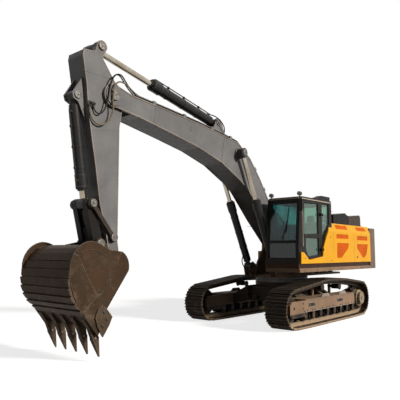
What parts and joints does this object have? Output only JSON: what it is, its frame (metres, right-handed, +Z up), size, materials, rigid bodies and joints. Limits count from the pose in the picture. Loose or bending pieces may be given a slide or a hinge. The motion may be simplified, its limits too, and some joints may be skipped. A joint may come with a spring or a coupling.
{
  "type": "crawler excavator",
  "caption": "Crawler excavator with slewing house, glazed cab, curved boom, arm and toothed rock bucket, all driven by exposed cylinders.",
  "frame": {"origin": "on the ground at the slewing axis", "axes": "+X forward along the boom, +Y to the operator's left, the cab's side, +Z up"},
  "size_m": [11.7587, 3.26, 6.0048],
  "materials": {
    "frame_brown": "worn matt paint",
    "frame_tan": "worn satin paint",
    "bearing_steel": "machined and oiled",
    "track_steel": "dark worn steel",
    "roller_black": "matt black",
    "pin_steel": "greased steel",
    "deck_dark": "matt dark paint",
    "body_yellow": "satin yellow paint",
    "weight_grey": "worn matt paint",
    "vent_orange": "matt orange paint",
    "hood_grey": "matt grey-brown paint",
    "box_black": "matt black",
    "cover_brown": "matt brown-grey paint",
    "engine_iron": "cast",
    "cab_black": "satin black paint",
    "cab_glass": "tinted",
    "lamp_black": "matt black",
    "seat_fabric": "woven cover on foam",
    "console_plastic": "grained plastic",
    "rail_steel": "painted tube",
    "boom_charcoal": "slightly glossy charcoal paint",
    "cylinder_dark": "satin dark paint",
    "rod_chrome": "polished chrome",
    "link_brown": "worn brown paint",
    "link_black": "worn black paint",
    "bucket_steel": "worn dark paint",
    "tooth_steel": "worn cast steel"
  },
  "bodies": {
    "undercarriage": {"carbody": "frame_brown", "slewing_ring_lower": "bearing_steel", "track_frame_left": "frame_tan", "track_frame_right": "frame_tan", "track_left": "track_steel", "track_right": "track_steel", "idlers": "roller_black", "sprockets": "roller_black", "final_drives": "roller_black", "bottom_rollers": "roller_black", "carrier_rollers": "roller_black"},
    "house": {"slewing_ring_upper": "bearing_steel", "turntable_frame": "frame_tan", "house_pins": "pin_steel", "side_decks": "deck_dark", "skirt_rails": "frame_tan", "counterweight": "weight_grey", "side_panels_left": "body_yellow", "side_panels_right": "body_yellow", "vent_grilles": "vent_orange", "engine_hood": "hood_grey", "intake_box": "box_black", "hood_cover": "cover_brown", "exhaust_stack": "pin_steel", "engine_block": "engine_iron", "tool_box": "body_yellow", "fuel_tank": "body_yellow", "hydraulic_tank": "body_yellow", "cab_shell": "cab_black", "cab_glass": "cab_glass", "roof_hatch": "cab_black", "roof_lamps": "lamp_black", "operator_seat": "seat_fabric", "cab_consoles": "console_plastic", "handrails": "rail_steel", "mirrors": "lamp_black"},
    "cab_door": {"cab_door": "cab_black", "door_glass": "cab_glass"},
    "boom": {"boom": "boom_charcoal", "boom_pins": "pin_steel"},
    "boom_cylinder_tubes": {"boom_cylinder_tubes": "cylinder_dark"},
    "boom_cylinder_rods": {"boom_cylinder_rods": "rod_chrome"},
    "arm_cylinder_tube": {"arm_cylinder_tube": "cylinder_dark"},
    "arm_cylinder_rod": {"arm_cylinder_rod": "rod_chrome"},
    "arm": {"arm": "boom_charcoal", "arm_pins": "pin_steel"},
    "bucket_cylinder_tube": {"bucket_cylinder_tube": "cylinder_dark"},
    "bucket_cylinder_rod": {"bucket_cylinder_rod": "rod_chrome"},
    "side_links": {"side_links": "link_brown"},
    "h_link": {"h_link": "link_black"},
    "bucket": {"bucket": "bucket_steel", "bucket_wear_strips": "bucket_steel", "side_cutters": "tooth_steel", "tooth_adapters": "tooth_steel", "bucket_teeth": "tooth_steel", "bucket_pins": "pin_steel"}
  },
  "joints": [
    {"name": "slew", "type": "hinge", "parent": "undercarriage", "child": "house", "pos_m": [0, 0, 1.13], "axis": [0, 0, 1], "continuous": true},
    {"name": "door_hinge", "type": "hinge", "parent": "house", "child": "cab_door", "pos_m": [0.455, 1.578, 2.5], "axis": [0, 0, 1], "range_deg": [0, 150]},
    {"name": "boom_pivot", "type": "hinge", "parent": "house", "child": "boom", "pos_m": [0.31, 0, 2.155], "axis": [0, -1, 0], "range_deg": [-69, 25]},
    {"name": "boom_cylinder_swing", "type": "hinge", "parent": "house", "child": "boom_cylinder_tubes", "pos_m": [1.11, 0, 1.51], "axis": [0, -1, 0], "range_deg": [-73.29, 26.62]},
    {"name": "boom_rod_slide", "type": "slide", "parent": "boom_cylinder_tubes", "child": "boom_cylinder_rods", "axis": [0.4532, 0, 0.8914], "range_m": [-1.0587, 0.3842]},
    {"name": "arm_pivot", "type": "hinge", "parent": "boom", "child": "arm", "pos_m": [6.75, 0, 4.96], "axis": [0, -1, 0], "range_deg": [-28, 82]},
    {"name": "arm_cylinder_swing", "type": "hinge", "parent": "boom", "child": "arm_cylinder_tube", "pos_m": [3.25, 0, 5.17], "axis": [0, -1, 0], "range_deg": [-0.1896, 0.3624]},
    {"name": "arm_rod_slide", "type": "slide", "parent": "arm_cylinder_tube", "child": "arm_cylinder_rod", "axis": [0.9823, 0, 0.1871], "range_m": [-1.2048, 0.412]},
    {"name": "bucket_pivot", "type": "hinge", "parent": "arm", "child": "bucket", "pos_m": [6.6, 0, 1.65], "axis": [0, -1, 0], "range_deg": [-150, 6]},
    {"name": "side_link_swing", "type": "hinge", "parent": "arm", "child": "side_links", "pos_m": [6.68, 0, 2.18], "axis": [0, -1, 0], "range_deg": [-97.18, 3.98]},
    {"name": "h_link_swing", "type": "hinge", "parent": "bucket", "child": "h_link", "pos_m": [7, 0, 2.05], "axis": [0, -1, 0], "range_deg": [-4.67, 114.39]},
    {"name": "bucket_cylinder_swing", "type": "hinge", "parent": "arm", "child": "bucket_cylinder_tube", "pos_m": [7.49, 0, 4.82], "axis": [0, -1, 0], "range_deg": [-0.28, 4.62]},
    {"name": "bucket_rod_slide", "type": "slide", "parent": "bucket_cylinder_tube", "child": "bucket_cylinder_rod", "axis": [-0.1469, 0, -0.9892], "range_m": [-0.0459, 1.1228]}
  ],
  "couplings": [
    {"joint": "boom_cylinder_swing", "follows": "boom_pivot", "ratio": 1.0607},
    {"joint": "boom_rod_slide", "follows": "boom_pivot", "m_per_rad": 0.8783},
    {"joint": "arm_cylinder_swing", "follows": "arm_pivot", "ratio": 0.0032},
    {"joint": "arm_rod_slide", "follows": "arm_pivot", "m_per_rad": -0.8411},
    {"joint": "side_link_swing", "follows": "bucket_pivot", "ratio": 0.6472},
    {"joint": "h_link_swing", "follows": "bucket_pivot", "ratio": -0.7619},
    {"joint": "bucket_cylinder_swing", "follows": "bucket_pivot", "ratio": -0.0301},
    {"joint": "bucket_rod_slide", "follows": "bucket_pivot", "m_per_rad": -0.4285}
  ]
}
